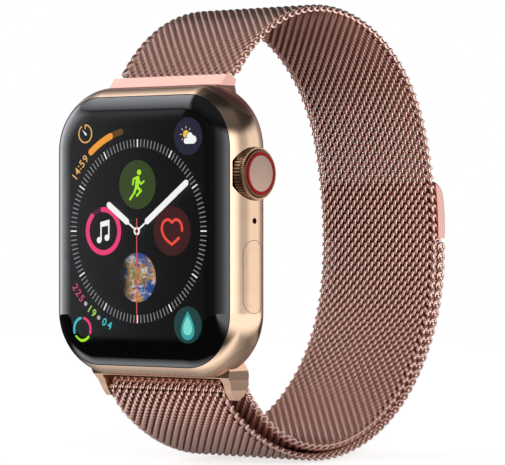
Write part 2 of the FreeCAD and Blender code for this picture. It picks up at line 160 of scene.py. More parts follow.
def lit(name, colour, strength=1.0):
    """Lit display colour, with the faint fall-off of a real panel."""
    mat, tree = new_material(name)
    where = place(tree, (1, 1, 1))
    low = tuple(c * 0.94 for c in colour[:3]) + (1.0,)
    shade = tint(tree, where, low, colour, 300.0)
    shader = add(tree, "BsdfPrincipled", Roughness=0.5)
    shader.inputs["Base Color"].default_value = (0, 0, 0, 1)
    shader.inputs["Specular IOR Level"].default_value = 0.0
    shader.inputs["Emission Strength"].default_value = strength
    tree.links.new(shade.outputs[2], shader.inputs["Emission Color"])
    finish_surface(tree, shader)
    return mat


def glass_material():
    """Black-bordered glass: clear over the display, black towards its edge."""
    mat, tree = new_material("display_glass")
    where = add(tree, "TexCoord")
    split = add(tree, "SeparateXYZ")
    link(tree, where, "Object", split, "Vector")
    reach = []
    for axis, half in (("X", 14.6 * MM), ("Z", 17.6 * MM)):
        size = add(tree, "Math", p_operation="ABSOLUTE")
        link(tree, split, axis, size, 0)
        over = add(tree, "Math", p_operation="SUBTRACT")
        over.inputs[1].default_value = half - 6.0 * MM
        link(tree, size, 0, over, 0)
        keep = add(tree, "Math", p_operation="MAXIMUM")
        keep.inputs[1].default_value = 0.0
        link(tree, over, 0, keep, 0)
        reach.append(keep)
    square = []
    for part in reach:
        power = add(tree, "Math", p_operation="POWER")
        power.inputs[1].default_value = 2.0
        link(tree, part, 0, power, 0)
        square.append(power)
    total = add(tree, "Math", p_operation="ADD")
    link(tree, square[0], 0, total, 0)
    link(tree, square[1], 0, total, 1)
    border = add(tree, "Math", p_operation="GREATER_THAN")
    border.inputs[1].default_value = (6.0 * MM) ** 2
    link(tree, total, 0, border, 0)

    ink = add(tree, "BsdfDiffuse")
    ink.inputs["Color"].default_value = (0.0008, 0.0008, 0.001, 1)
    clear = add(tree, "BsdfTransparent")
    body = add(tree, "MixShader")
    link(tree, border, 0, body, 0)
    link(tree, clear, 0, body, 1)
    link(tree, ink, 0, body, 2)
    gloss = add(tree, "BsdfGlossy", Roughness=0.03)
    gloss.inputs["Color"].default_value = (0.93, 0.95, 1.0, 1)
    fresnel = add(tree, "Fresnel", IOR=1.75)
    face = add(tree, "MixShader")
    link(tree, fresnel, 0, face, 0)
    link(tree, body, 0, face, 1)
    link(tree, gloss, 0, face, 2)
    finish_surface(tree, face)
    return mat


def globe_material():
    """Lit planet: sea, land and cloud in noise, with the left limb in shadow."""
    mat, tree = new_material("dial_globe")
    where = place(tree, (1, 1, 1))
    land = add(tree, "TexNoise", Scale=330.0, Detail=6.0, Roughness=0.62)
    link(tree, where, "Vector", land, "Vector")
    ramp = add(tree, "ValToRGB")
    stops = ((0.0, "14275a"), (0.46, "2a4c8e"), (0.5, "8a6b4a"), (0.56, "c08a4a"), (0.64, "6d7a4c"))
    elements = ramp.color_ramp.elements
    while len(elements) < len(stops):
        elements.new(0.5)
    for element, (at, colour) in zip(elements, stops):
        element.position = at
        element.color = srgb(colour)
    link(tree, land, 0, ramp, "Fac")
    streak = place(tree, (1, 1, 2.2))
    cloud = add(tree, "TexNoise", Scale=520.0, Detail=7.0, Roughness=0.7, Distortion=1.1)
    link(tree, streak, "Vector", cloud, "Vector")
    veil = add(tree, "MapRange")
    veil.inputs["From Min"].default_value = 0.5
    veil.inputs["From Max"].default_value = 0.72
    link(tree, cloud, 0, veil, "Value")
    mix = add(tree, "Mix", p_data_type="RGBA")
    mix.inputs[7].default_value = srgb("e8ecf4")
    tree.links.new(veil.outputs[0], mix.inputs[0])
    tree.links.new(ramp.outputs[0], mix.inputs[6])
    split = add(tree, "SeparateXYZ")
    spot = add(tree, "TexCoord")
    link(tree, spot, "Object", split, "Vector")
    night = add(tree, "MapRange", p_interpolation_type="SMOOTHSTEP")
    night.inputs["From Min"].default_value = -2.9 * MM
    night.inputs["From Max"].default_value = -0.9 * MM
    night.inputs["To Min"].default_value = 0.03
    link(tree, split, "X", night, "Value")
    shader = add(tree, "BsdfPrincipled")
    shader.inputs["Base Color"].default_value = (0, 0, 0, 1)
    shader.inputs["Specular IOR Level"].default_value = 0.0
    tree.links.new(mix.outputs[2], shader.inputs["Emission Color"])
    link(tree, night, 0, shader, "Emission Strength")
    finish_surface(tree, shader)
    return mat


CROWN_Y = -5.3           # crown's axis
CROWN_Z = 8.5
KNURL_ROOT = 3.62        # radius up to which the knurl is painted dark, as shade in its grooves
KNURL_CREST = 3.78       # radius from which the painted groove shade is gone and the knurl is bright


def knurl_groove_shade_material():
    """Gold with painted shade in the grooves of the crown's knurl: darker below the crests, by distance from
    the crown's axis.
    """
    mat, tree = new_material("gold_knurl_painted_groove_shade")
    where = add(tree, "TexCoord")
    split = add(tree, "SeparateXYZ")
    link(tree, where, "Object", split, "Vector")
    squares = []
    for axis, centre in (("Y", CROWN_Y * MM), ("Z", CROWN_Z * MM)):
        shift = add(tree, "Math", p_operation="SUBTRACT")
        shift.inputs[1].default_value = centre
        link(tree, split, axis, shift, 0)
        square = add(tree, "Math", p_operation="MULTIPLY")
        link(tree, shift, 0, square, 0)
        link(tree, shift, 0, square, 1)
        squares.append(square)
    total = add(tree, "Math", p_operation="ADD")
    link(tree, squares[0], 0, total, 0)
    link(tree, squares[1], 0, total, 1)
    radius = add(tree, "Math", p_operation="SQRT")
    link(tree, total, 0, radius, 0)
    # painted groove shade: crest runs from 0 at the knurl's root, painted dark brown, to 1 at its crests,
    # plain gold
    crest = add(tree, "MapRange")
    crest.inputs["From Min"].default_value = KNURL_ROOT * MM
    crest.inputs["From Max"].default_value = KNURL_CREST * MM
    link(tree, radius, 0, crest, "Value")
    grain = tint(tree, place(tree, (6, 1, 1)), srgb("dcb898"), srgb("e6c6a8"), 900.0)
    mix = add(tree, "Mix", p_data_type="RGBA")
    mix.inputs[6].default_value = srgb("6b4a38")
    link(tree, crest, 0, mix, 0)
    tree.links.new(grain.outputs[2], mix.inputs[7])
    shader = add(tree, "BsdfPrincipled", Metallic=1.0, Roughness=0.32)
    tree.links.new(mix.outputs[2], shader.inputs["Base Color"])
    finish_surface(tree, shader)
    return mat


# ---- materials --------------------------------------------------------------------------------
GOLD = metal("gold_steel", srgb("d9b79c"), srgb("e2c3a9"), 0.17, (1, 1, 8), 700.0, 0.012)
GOLD_KNURL_SHADED = knurl_groove_shade_material()
ROSE_WIRE = metal("rose_wire", srgb("e4b8ac"), srgb("eec8bc"), 0.22, (1, 1, 1), 1400.0, 0.03)
# the cross rods are the wire's own metal, painted dark red-brown as shade in the gaps between the rows
ROSE_ROD_SHADE = metal("rose_rod_painted_shade", srgb("6e3a32"), srgb("7c453c"), 0.45, (1, 1, 1), 1400.0, 0.03)
ROSE_SATIN = metal("rose_satin", srgb("d8a398"), srgb("e2b3a8"), 0.34, (0.4, 6, 6), 1600.0, 0.05)
GOLD_SATIN = metal("gold_satin", srgb("cfa78f"), srgb("dab79f"), 0.32, (0.4, 6, 6), 1600.0, 0.05)
TAUPE = metal("taupe_satin", srgb("a3897c"), srgb("ab9184"), 0.42, (1, 1, 1), 2200.0, 0.05)
STEEL = metal("plain_steel", srgb("8c8c8e"), srgb("9c9c9e"), 0.3, (1, 5, 1), 900.0, 0.04)
DARK_METAL = metal("dark_mesh_metal", srgb("2a2624"), srgb("3a3431"), 0.45, (1, 1, 1), 4000.0, 0.3)
ELECTRODE = metal("electrode_satin", srgb("6d6763"), srgb("7c7672"), 0.28, (1, 1, 1), 1500.0, 0.03)
BRASS = metal("turned_brass", srgb("a8874a"), srgb("b8965a"), 0.3, (8, 1, 1), 700.0, 0.04)
MAGNET = metal("nickel_magnet", srgb("83838a"), srgb("93939a"), 0.25, (1, 1, 1), 900.0, 0.02)
ALUMINIUM = metal("raw_aluminium", srgb("a2a2a6"), srgb("b0b0b4"), 0.35, (1, 6, 1), 1200.0, 0.04)
RED = moulded("crown_enamel", srgb("860308"), srgb("94060d"), 0.5, 900.0, 0.02, specular=0.1)
BLACK_RUBBER = moulded("black_rubber", srgb("0c0c0c"), srgb("161616"), 0.6)
BLACK_PLASTIC = moulded("black_plastic", srgb("101011"), srgb("1a1a1c"), 0.45)
SEAM = moulded("seam_shadow", srgb("120b08"), srgb("1c120d"), 0.7)
CERAMIC = moulded("back_ceramic", srgb("0b0b0d"), srgb("131316"), 0.12, 600.0, 0.01, 0.6)
CRYSTAL = moulded("back_crystal_tint", srgb("08090c"), srgb("101218"), 0.05, 300.0, 0.004, 1.0)
PANEL = moulded("panel_black", srgb("020203"), srgb("030304"), 0.5, 900.0, 0.0)
BOARD = moulded("board_mask", srgb("0d2f1e"), srgb("144029"), 0.4, 900.0, 0.15)
FILM = moulded("amber_film", srgb("6b3510"), srgb("7f4216"), 0.35)
FOIL = moulded("battery_wrap", srgb("26262a"), srgb("33333a"), 0.38, 500.0, 0.2)
LED = moulded("led_lens", srgb("3fae5c"), srgb("66d07e"), 0.2)
DIODE = moulded("diode_lens", srgb("171320"), srgb("241d33"), 0.15)
GLASS = glass_material()

PAINT = {
    "case_shell": GOLD, "side_button": GOLD, "front_glass": GLASS, "display_panel": PANEL,
    "display_gasket": BLACK_RUBBER, "display_flex": FILM, "back_cover": CERAMIC,
    "electrode_ring": ELECTRODE, "back_crystal": CRYSTAL, "back_gasket": BLACK_RUBBER,
    "sensor_board": BOARD, "sensor_shroud": BLACK_PLASTIC, "sensor_leds": LED,
    "sensor_diodes": DIODE, "battery": FOIL, "haptic_housing": STEEL, "haptic_mass": STEEL,
    "logic_board": BOARD, "logic_package": BLACK_PLASTIC, "board_screws": STEEL,
    "speaker_module": BLACK_PLASTIC, "speaker_mesh": DARK_METAL, "microphone": ALUMINIUM,
    "mic_mesh": DARK_METAL, "switch_bracket": ALUMINIUM, "crown_switch": BLACK_PLASTIC,
    "button_switch": BLACK_PLASTIC, "crown_bush": BRASS, "crown_seal": BLACK_RUBBER,
    "crown_yoke": STEEL, "crown_knob": GOLD_KNURL_SHADED, "crown_ring": RED, "crown_cap": TAUPE,
    "crown_shaft": STEEL, "crown_encoder": BLACK_PLASTIC, "button_plate": STEEL,
    "upper_release": GOLD, "lower_release": GOLD, "upper_lug": ROSE_SATIN,
    "lower_lug": GOLD_SATIN, "upper_latch": STEEL, "lower_latch": STEEL,
    "upper_latch_spring": STEEL, "lower_latch_spring": STEEL, "clasp_shell": ROSE_SATIN,
    "clasp_liner": BLACK_RUBBER, "clasp_magnet": MAGNET,
}
for node, material in PAINT.items():
    NODES[node].data.materials.clear()
    NODES[node].data.materials.append(material)


# ---- mesh helpers ------------------------------------------------------------------------------
def make_object(name, verts, faces, material, smooth=False):
    data = bpy.data.meshes.new(name)
    data.from_pydata(verts, [], faces)
    data.materials.append(material)
    if smooth:
        data.polygons.foreach_set("use_smooth", [True] * len(data.polygons))
    data.update()
    obj = bpy.data.objects.new(name, data)
    scene.collection.objects.link(obj)
    return obj


def plate(name, loops, material, front_y, thick=0.05, body="case"):
    """Flat graphic: closed (x, z) loops, inner ones cut out, as a thin slab facing the front."""
    curve = bpy.data.curves.new(name, "CURVE")
    curve.dimensions = "2D"
    curve.fill_mode = "BOTH"
    curve.extrude = thick / 2
    for loop in loops:
        spline = curve.splines.new("POLY")
        spline.points.add(len(loop) - 1)
        for point, (x, z) in zip(spline.points, loop):
            point.co = (x, z, 0, 1)
        spline.use_cyclic_u = True
    return slab_from_curve(name, curve, material, front_y, thick, body)


def slab_from_curve(name, curve, material, front_y, thick, body, where=None):
    holder = bpy.data.objects.new(name + "_outline", curve)
    scene.collection.objects.link(holder)
    graph = bpy.context.evaluated_depsgraph_get()
    data = bpy.data.meshes.new_from_object(holder.evaluated_get(graph))
    bpy.data.objects.remove(holder)
    stand = Matrix.Translation((0, front_y + thick / 2, 0)) @ Matrix.Rotation(pi / 2, 4, "X")
    data.transform(Matrix.Scale(MM, 4) @ stand @ (where or Matrix.Identity(4)))
    work = bmesh.new()
    work.from_mesh(data)
    bmesh.ops.remove_doubles(work, verts=work.verts, dist=1e-7)
    bmesh.ops.recalc_face_normals(work, faces=work.faces)
    work.to_mesh(data)
    work.free()
    data.materials.clear()
    data.materials.append(material)
    obj = bpy.data.objects.new(name, data)
    scene.collection.objects.link(obj)
    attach(obj, body)
    return obj


def join(objects, name):
    """One object from several on the same body."""
    first = objects[0]
    with bpy.context.temp_override(active_object=first, selected_editable_objects=objects):
        bpy.ops.object.join()
    first.name = name
    return first


# ---- dial --------------------------------------------------------------------------------------
DIAL_Y = -10.3
LAYER = 0.02


def at(angle, r):
    """Point at a clock angle in degrees and a radius."""
    a = radians(angle)
    return (r * sin(a), r * cos(a))


def circle(x, z, r, count=48):
    return [(x + r * cos(2 * pi * k / count), z + r * sin(2 * pi * k / count)) for k in range(count)]


def bar(p, q, width, count=8):
    """Bar with round ends from p to q."""
    a = atan2(q[1] - p[1], q[0] - p[0])
    r = width / 2
    points = []
    for end, turn in ((q, -pi / 2), (p, pi / 2)):
        for k in range(count + 1):
            b = a + turn + pi * k / count
            points.append((end[0] + r * cos(b), end[1] + r * sin(b)))
    return points


def slat(p, q, width):
    """Bar with square ends."""
    length = sqrt((q[0] - p[0]) ** 2 + (q[1] - p[1]) ** 2)
    nx = -(q[1] - p[1]) / length * width / 2
    nz = (q[0] - p[0]) / length * width / 2
    return [(p[0] + nx, p[1] + nz), (p[0] - nx, p[1] - nz), (q[0] - nx, q[1] - nz), (q[0] + nx, q[1] + nz)]


def sweep(centre, r, width, start, end, round_ends=True, count=40):
    """Arc band between two clock angles."""
    inner = []
    outer = []
    for k in range(count + 1):
        a = start + (end - start) * k / count
        x, z = at(a, 1.0)
        outer.append((centre[0] + x * (r + width / 2), centre[1] + z * (r + width / 2)))
        inner.append((centre[0] + x * (r - width / 2), centre[1] + z * (r - width / 2)))
    loop = list(outer)
    if round_ends:
        loop += end_cap(centre, r, width, end, 1)
    loop += inner[::-1]
    if round_ends:
        loop += end_cap(centre, r, width, start, -1)
    return loop


def end_cap(centre, r, width, angle, way, count=8):
    mx, mz = at(angle, r)
    points = []
    for k in range(1, count):
        b = angle + 0.0
        t = pi * k / count
        out = (width / 2) * cos(t) * way
        along = (width / 2) * sin(t) * way
        ux, uz = at(b, 1.0)
        vx, vz = at(b + 90, 1.0)
        points.append((centre[0] + mx + ux * out + vx * along, centre[1] + mz + uz * out + vz * along))
    return points


WHITE = lit("dial_white", srgb("ffffff"))
GREY = lit("dial_grey", srgb("8e8e92"))
CORAL = lit("dial_coral", srgb("e0605c"))
HUB_RED = lit("dial_hub", srgb("5c0a10"))
PINK = lit("dial_pink", srgb("f23e78"))
PINK_DIM = lit("dial_pink_dim", srgb("4c1a30"))
OLIVE = lit("dial_olive", srgb("34471c"))
LIME = lit("dial_lime", srgb("aef42a"))
MAROON = lit("dial_maroon", srgb("40191a"))
HEART = lit("dial_heart", srgb("f8503e"))
ORANGE = lit("dial_orange", srgb("f8a230"))
ORANGE_DIM = lit("dial_orange_dim", srgb("63421a"))
NAVY = lit("dial_navy", srgb("26263a"))
SUN = lit("dial_sun", srgb("f5c84a"))
TEAL_DARK = lit("dial_teal_dark", srgb("1f4444"))
MINT = lit("dial_mint", srgb("7fe8d8"))
MINT_DEEP = lit("dial_mint_deep", srgb("3fa6a8"))
CYAN = lit("dial_cyan", srgb("3fc0cc"))
AMBER = lit("dial_amber", srgb("e8b26a"))
ROSE = lit("dial_rose", srgb("c8447a"))
LIME_PALE = lit("dial_lime_pale", srgb("a4dc58"))
CREAM = lit("dial_cream", srgb("cfc9ba"))
GREY_LIGHT = lit("dial_grey_light", srgb("b4b4b8"))
GLOBE = globe_material()


def face(level):
    """Front of a dial layer; higher levels lie nearer the glass."""
    return DIAL_Y - level * LAYER


def build_ticks():
    hours = []
    minutes = []
    for k in range(120):
        long_one = k % 10 == 0
        span = slat(at(3 * k, 13.85), at(3 * k, 12.65), 0.2 if long_one else 0.15)
        (hours if long_one else minutes).append(span)
    plate("dial_hour_marks", hours, WHITE, face(0), 0.02)
    plate("dial_minute_marks", minutes, GREY, face(0), 0.02)


def build_hands():
    for name, angle, reach in (("hour_hand", 304.5, 7.45), ("minute_hand", 54.0, 12.65)):
        stem = bar(at(angle, 0.55), at(angle, 2.7), 0.26)
        blade = bar(at(angle, 2.55), at(angle, reach - 0.47), 0.95)
        thin = plate(name + "_stem", [stem], WHITE, face(6), 0.02)
        wide = plate(name + "_blade", [blade], WHITE, face(5), 0.02)
        join([wide, thin], name)
    plate("hand_hub", [circle(0, 0, 0.62), circle(0, 0, 0.3)], WHITE, face(7), 0.02)
    plate("second_hand", [slat(at(180, 13.9), at(0, 1.95), 0.15)], CORAL, face(8), 0.02)
    plate("hub_pin", [circle(0, 0, 0.29)], HUB_RED, face(9), 0.02)


def build_runner():
    """Pictogram of someone exercising: head, body, arms and legs as rounded strokes."""
    x0, z0 = at(0, 7.0)
    plate("exercise_disc", [circle(x0, z0, 3.7, 64)], OLIVE, face(1), 0.02)
    strokes = [
        ((0.1, 0.95), (-0.1, -0.35), 0.75),
        ((0.0, 1.15), (-0.75, 0.85), 0.34),
        ((-0.75, 0.85), (-0.9, 0.05), 0.32),
        ((0.2, 0.75), (0.75, 0.1), 0.32),
        ((0.75, 0.1), (1.35, 0.5), 0.3),
        ((0.0, -0.3), (0.75, -0.95), 0.42),
        ((0.75, -0.95), (-0.05, -1.65), 0.36),
        ((-0.2, -0.35), (-0.6, -1.25), 0.42),
        ((-0.6, -1.25), (-1.45, -2.2), 0.34),
    ]
    parts = []
    for k, (p, q, w) in enumerate(strokes):
        loop = bar((x0 + p[0], z0 + p[1]), (x0 + q[0], z0 + q[1]), w)
        parts.append(plate("exercise_stroke_%d" % k, [loop], LIME, face(2 + 0.2 * k), 0.02))
    parts.append(plate("exercise_head", [circle(x0 + 0.38, z0 + 1.85, 0.42)], LIME, face(2), 0.02))
    join(parts, "exercise_figure")


def build_music():
    x0, z0 = at(270, 7.0)
    plate("music_ring", [sweep((x0, z0), 3.28, 0.78, -3, 315)], PINK, face(1), 0.02)
    plate("music_ring_gap", [sweep((x0, z0), 3.28, 0.74, 318, 354, False)], PINK_DIM, face(0.5), 0.02)
    left = bar((x0 - 0.48, z0 - 1.3), (x0 - 0.48, z0 + 1.2), 0.26)
    right = bar((x0 + 1.13, z0 - 0.95), (x0 + 1.13, z0 + 1.55), 0.26)
    beam = [(x0 - 0.63, z0 + 0.58), (x0 - 0.63, z0 + 1.36), (x0 + 1.26, z0 + 1.76), (x0 + 1.26, z0 + 0.9)]
    parts = [plate("note_left", [left], WHITE, face(1), 0.02),
             plate("note_right", [right], WHITE, face(1), 0.02),
             plate("note_beam", [beam], WHITE, face(1.3), 0.02)]
    for k, (x, z) in enumerate(((-0.86, -1.36), (0.75, -1.01))):
        parts.append(plate("note_head_%d" % k, [circle(x0 + x, z0 + z, 0.48, 24)], WHITE, face(1.6), 0.02))
    join(parts, "music_note")


def build_heart():
    x0, z0 = at(90, 7.0)
    plate("heart_disc", [circle(x0, z0, 3.7, 64)], MAROON, face(1), 0.02)
    right = [(2.02, 0.09), (2.0, 0.62), (1.7, 1.3), (1.05, 1.7), (0.45, 1.62), (0.0, 1.27)]
    left = [(0.0, 1.27), (-0.45, 1.62), (-1.05, 1.7), (-1.7, 1.3), (-2.03, 0.5), (-1.87, -0.25),
            (-1.44, -0.94), (-0.78, -1.52), (0.0, -1.97)]
    foot = [(0.0, -1.97), (0.7, -1.53), (1.38, -1.03)]
    parts = []
    for k, points in enumerate((right, left, foot)):
        line = [(x0 + x, z0 + z) for x, z in smooth(points)]
        parts.append(plate("heart_stroke_%d" % k, [ribbon(line, 0.42)], HEART, face(2 + 0.1 * k), 0.02))
    join(parts, "heart_line")


def smooth(points, count=8):
    """Rounded line through all points."""
    p = [np.array(q) for q in points]
    p = [2 * p[0] - p[1]] + p + [2 * p[-1] - p[-2]]
    line = []
    for a, b, c, d in zip(p, p[1:], p[2:], p[3:]):
        for k in range(count):
            t = k / count
            line.append(0.5 * (2 * b + (c - a) * t + (2 * a - 5 * b + 4 * c - d) * t ** 2
                               + (3 * b - a - 3 * c + d) * t ** 3))
    return line + [p[-2]]


def ribbon(line, width, count=6):
    """Even stroke along an open line, with round ends."""
    left = []
    right = []
    for k, (x, z) in enumerate(line):
        a = line[max(0, k - 1)]
        b = line[min(len(line) - 1, k + 1)]
        length = max(1e-6, sqrt((b[0] - a[0]) ** 2 + (b[1] - a[1]) ** 2))
        nx = -(b[1] - a[1]) / length * width / 2
        nz = (b[0] - a[0]) / length * width / 2
        left.append((x + nx, z + nz))
        right.append((x - nx, z - nz))
    loop = list(left)
    for (x, z), start in ((line[-1], left[-1]), (line[0], right[0])):
        a0 = atan2(start[1] - z, start[0] - x)
        loop += [(x + width / 2 * cos(a0 - pi * k / count), z + width / 2 * sin(a0 - pi * k / count))
                 for k in range(1, count)]
        if start is left[-1]:
            loop += right[::-1]
    return loop


def build_globe():
    x0, z0 = at(180, 7.0)
    plate("globe_disc", [circle(x0, z0, 3.72, 72)], GLOBE, face(1), 0.02)


def build_corners():
    # timer, upper left
    tx, tz = -10.78, 14.87
    plate("timer_ring", [sweep((tx, tz), 1.34, 0.22, 0, 325)], AMBER, face(1), 0.02)
    plate("timer_nick", [bar((tx, tz + 0.8), (tx, tz + 1.34), 0.22)], AMBER, face(1.5), 0.02)
    needle = [(tx - 0.62, tz + 0.63), (tx + 0.3, tz - 0.02), (tx + 0.26, tz - 0.24), (tx + 0.08, tz - 0.28)]
    plate("timer_needle", [needle], WHITE, face(2), 0.02)
    plate("timer_bar", [sweep((0, 0), 15.4, 1.0, -38.5, -21.0)], ORANGE, face(1.5), 0.02)
    plate("timer_bar_rest", [sweep((0, 0), 15.4, 0.95, -21.0, -12.6)], ORANGE_DIM, face(1), 0.02)
    # weather, upper right
    wx, wz = 10.2, 14.1
    plate("weather_disc", [circle(wx, wz, 2.8, 56)], NAVY, face(1), 0.02)
    sx, sz = wx - 0.38, wz + 0.3
    plate("weather_sun", [circle(sx, sz, 0.6, 28)], SUN, face(2), 0.02)
    rays = [bar((sx + 0.92 * cos(a), sz + 0.92 * sin(a)), (sx + 1.15 * cos(a), sz + 1.15 * sin(a)), 0.14)
            for a in (radians(45 * k) for k in range(1, 6))]
    plate("weather_rays", rays, CREAM, face(2), 0.02)
    puffs = ((-0.33, -0.7, 0.45), (0.4, 0.0, 0.57), (1.13, -0.5, 0.58))
    for name, tone, grow, level in (("cloud_edge", NAVY, 0.13, 2.6), ("weather_cloud", WHITE, 0.0, 4.0)):
        parts = []
        for k, (x, z, r) in enumerate(puffs):
            puff = circle(wx + x, wz + z, r + grow, 28)
            parts.append(plate("%s_%d" % (name, k), [puff], tone, face(level + 0.2 * k), 0.02))
        base = bar((wx - 0.28, wz - 0.76), (wx + 1.1, wz - 0.76), 0.74 + 2 * grow)
        parts.append(plate(name + "_base", [base], tone, face(level + 0.7), 0.02))
        join(parts, name)
    # water reminder, lower right
    dx, dz = 10.15, -13.95
    plate("water_disc", [circle(dx, dz, 2.75, 56)], TEAL_DARK, face(1), 0.02)
    for name, grow, tone, level in (("water_halo", 1.0, MINT_DEEP, 2), ("water_drop", 0.66, MINT, 3)):
        drop = []
        for k in range(48):
            t = 2 * pi * k / 48
            drop.append((dx + grow * 1.75 * sin(t) * sin(t / 2) ** 1.1, dz - 0.1 + grow * 2.15 * cos(t)))
        plate(name, [drop], tone, face(level), 0.02)
    # day's totals, lower left, with a three-colour gauge
    gx, gz = -11.4, -15.0
    for k, tone in enumerate((PINK, LIME, CYAN)):
        arc = sweep((gx, gz), 1.72, 0.42, 120 * k + 12, 120 * k + 108)
        plate("gauge_part_%d" % k, [arc], tone, face(1), 0.02)
    for k, angle in enumerate((-136.0, -148.8)):
        x, z = at(angle, 15.4)
        plate("total_dot_%d" % k, [circle(x, z, 0.34, 20)], GREY_LIGHT, face(1), 0.02)


def lettering(name, text, angle, r, size, gap, material, outward):
    """Numbers set along a circle; outward says which way their tops point."""
    parts = []
    span = gap * (len(text) - 1)
    for k, letter in enumerate(text):
        step = (-span / 2 + gap * k) * (1 if outward else -1)
        a = angle + step
        body = bpy.data.curves.new(name, "FONT")
        body.body = letter
        body.size = size
        body.align_x = "CENTER"
        body.align_y = "CENTER"
        body.extrude = 0.01
        body.offset = 0.022
        x, z = at(a, r)
        turn = -radians(a) if outward else pi - radians(a)
        where = Matrix.Translation((x, z, 0)) @ Matrix.Rotation(turn, 4, "Z")
        parts.append(slab_from_curve("%s_%d" % (name, k), body, material, face(1), 0.02, "case", where))
    return join(parts, name) if len(parts) > 1 else parts[0]


def build_numbers():
    lettering("timer_minutes", "14", -55.6, 15.35, 1.7, 3.7, AMBER, True)
    dots = [circle(*at(-50.9, r), 0.13, 16) for r in (15.1, 15.7)]
    plate("timer_colon", dots, AMBER, face(1), 0.02)
    lettering("timer_seconds", "59", -46.1, 15.35, 1.7, 3.9, AMBER, True)
    lettering("total_pink", "225", -127.7, 15.5, 1.7, 4.0, ROSE, False)
    lettering("total_lime", "19", -142.3, 15.45, 1.7, 3.9, LIME_PALE, False)
    lettering("total_cyan", "04", -156.1, 15.45, 1.7, 4.5, CYAN, False)


build_ticks()
build_hands()
build_runner()
build_music()
build_heart()
build_globe()
build_corners()
build_numbers()


# ---- seam between glass and case ---------------------------------------------------------------
def tube_along(name, points, r, material, body, sides=8, closed=True):
    """Round tube along (x, y, z) points in millimetres."""
    p = np.array(points, float)
    count = len(p)
    if closed:
        ahead = np.roll(p, -1, 0) - np.roll(p, 1, 0)
    else:
        ahead = np.gradient(p, axis=0)
    ahead /= np.linalg.norm(ahead, axis=1)[:, None]
    up = np.array((0.0, 1.0, 0.0))
    side = np.cross(ahead, up)
    side /= np.linalg.norm(side, axis=1)[:, None]
    other = np.cross(side, ahead)
    verts = []
    for k in range(sides):
        a = 2 * pi * k / sides
        verts.append(p + r * (cos(a) * side + sin(a) * other))
    verts = np.stack(verts, 1).reshape(-1, 3) * MM
    faces = []
    for i in range(count if closed else count - 1):
        j = (i + 1) % count
        for k in range(sides):
            m = (k + 1) % sides
            faces.append((i * sides + k, i * sides + m, j * sides + m, j * sides + k))
    if not closed:
        faces.append(tuple(range(sides))[::-1])
        faces.append(tuple((count - 1) * sides + k for k in range(sides)))
    obj = make_object(name, verts.tolist(), faces, material, True)
    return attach(obj, body)


def rounded_outline(half_x, half_z, r, y, count=24):
    points = []
    for cx, cz, a0 in ((1, 1, 0), (-1, 1, 90), (-1, -1, 180), (1, -1, 270)):
        for k in range(count + 1):
            a = radians(a0 + 90 * k / count)
            points.append((cx * (half_x - r) + r * cos(a), y, cz * (half_z - r) + r * sin(a)))
    return points


FRONT_ROLL = 5.4         # radius of the rolled edge of glass and case
EDGE_DROP = 10.7 - FRONT_ROLL
SEAM_Y = -9.15
REACH = sqrt(FRONT_ROLL ** 2 - (EDGE_DROP + SEAM_Y) ** 2)
tube_along("glass_seam", rounded_outline(13.6 + REACH, 16.6 + REACH, 4.4 + REACH, SEAM_Y), 0.06, SEAM, "case")


# ---- woven strap -------------------------------------------------------------------------------
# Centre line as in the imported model: bends of (radius, degrees) in the YZ plane.
START = (-1.33, 23.17)
HEADING = 56.6
INNER = [(25.5, -53.3), (27.1, -76.5), (59.0, -21.9), (29.5, -33.0), (29.5, -38.4), (23.4, -66.0)]
FOLD = [(4.5, 59.7), (1.27, 113.4), (12.5, 20.1), (31.2, 14.0)]
TAIL = [(31.2, 46.6), (30.7, 36.0), (33.0, 35.6)]
WIRE_R = 0.262           # wound wire
ROD_R = 0.355            # cross rod inside each row
ROW = 0.78               # from one row to the next, along the strap
PITCH = 1.425            # from one turn to the next, across the strap
TURNS = 16               # turns in a row
HALF_ALONG = 0.6         # half a turn's size along the strap
HALF_THICK = 0.375       # half a turn's size through the strap
STEEP = 0.8              # how far the wire leans within a turn
STEPS = 12               # points in a turn
SIDES = 6                # sides of the wire's section


def stations(bends):
    """Start length, centre, radius, side and first angle of each bend."""
    p = np.array(START)
    h = radians(HEADING)
    s = 0.0
    found = []
    for radius, turn in bends:
        side = 1 if turn > 0 else -1
        centre = p + side * radius * np.array((-sin(h), cos(h)))
        a0 = h - side * pi / 2
        found.append((s, centre, radius, side, a0))
        s += radius * abs(radians(turn))
        h += radians(turn)
        a1 = a0 + radians(turn)
        p = centre + radius * np.array((cos(a1), sin(a1)))
    return found, s


PATH, PATH_LENGTH = stations(INNER + FOLD + TAIL)
LENGTHS = [b[0] * abs(radians(b[1])) for b in INNER + FOLD + TAIL]
OVER_END = sum(LENGTHS[:2])
BEHIND_END = sum(LENGTHS[:4])
JOINT_1 = sum(LENGTHS[:10])
JOINT_2 = sum(LENGTHS[:11])
JOINT_3 = sum(LENGTHS[:12])


def on_path(s, out):
    """YZ points at lengths s along the strap, out to the left of travel by out."""
    s = np.asarray(s, float)
    result = np.zeros(s.shape + (2,))
    bounds = [b[0] for b in PATH] + [1e9]
    for k, (s0, centre, radius, side, a0) in enumerate(PATH):
        low = -1e9 if k == 0 else bounds[k]
        here = (s >= low) & (s < bounds[k + 1])
        a = a0 + side * (s - s0) / radius
        r = radius - side * out
        y = centre[0] + r * np.cos(a)
        z = centre[1] + r * np.sin(a)
        result[..., 0] = np.where(here, y, result[..., 0])
        result[..., 1] = np.where(here, z, result[..., 1])
    return result


